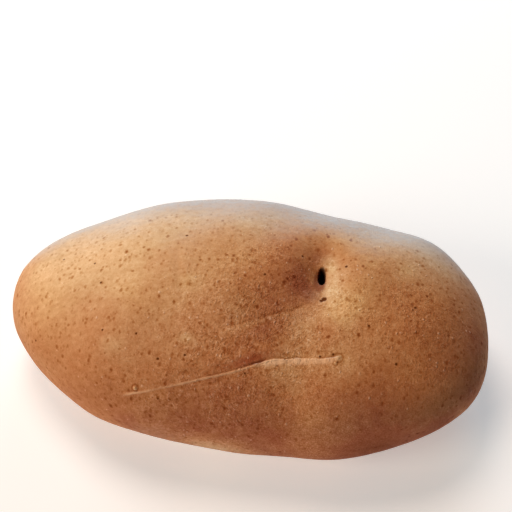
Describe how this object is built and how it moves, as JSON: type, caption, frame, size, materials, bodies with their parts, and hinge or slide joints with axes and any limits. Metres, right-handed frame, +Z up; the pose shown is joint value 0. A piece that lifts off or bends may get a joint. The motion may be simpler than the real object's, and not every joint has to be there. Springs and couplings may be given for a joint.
{
  "type": "mollete roll",
  "caption": "Soft oval wholemeal bread roll with a smooth domed crust, a dimple round a small blow hole, a long shallow score on its side and a flat base to rest on.",
  "frame": {"origin": "on the flat base, under the middle of the roll's length and width", "axes": "+X along the roll towards its broad end, +Y away from the side with the long score, +Z up"},
  "size_m": [0.15, 0.0898, 0.046],
  "materials": {
    "crust": "soft matte baked crust, golden brown with brown-red bran flecks, paler where the dough stretched"
  },
  "bodies": {
    "root": {"mollete_roll": "crust"}
  },
  "joints": []
}
